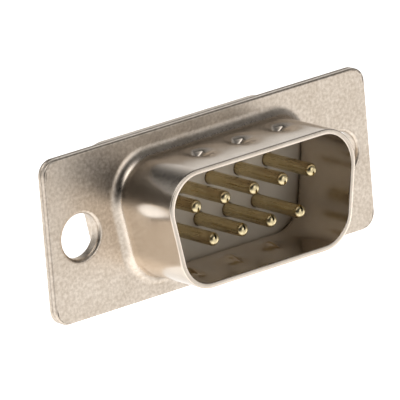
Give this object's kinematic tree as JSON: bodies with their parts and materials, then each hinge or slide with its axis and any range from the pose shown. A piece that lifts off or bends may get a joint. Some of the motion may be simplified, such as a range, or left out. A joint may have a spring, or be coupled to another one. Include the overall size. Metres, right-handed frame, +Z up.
{
  "type": "d-sub connector",
  "caption": "Nine-way D-sub plug for a panel: a drawn steel skirt with grounding dimples on an oblong flange with screw holes, round pins in front and solder cups behind.",
  "frame": {"origin": "midway between the two mounting holes, on the front face of the flange", "axes": "+X along the flange, +Z up towards the wide side of the D, and the plug mates towards -Y"},
  "size_m": [0.0308, 0.0158, 0.0126],
  "materials": {
    "plated_steel": "satin tin plate",
    "insulator_plastic": "matt moulded",
    "gold_flash": "thin gold flash over brass, satin"
  },
  "bodies": {
    "root": {"front_shell": "plated_steel", "rear_shell": "plated_steel", "front_insulator": "insulator_plastic", "rear_insulator": "insulator_plastic", "contact_1": "gold_flash", "contact_2": "gold_flash", "contact_3": "gold_flash", "contact_4": "gold_flash", "contact_5": "gold_flash", "contact_6": "gold_flash", "contact_7": "gold_flash", "contact_8": "gold_flash", "contact_9": "gold_flash"}
  },
  "joints": []
}
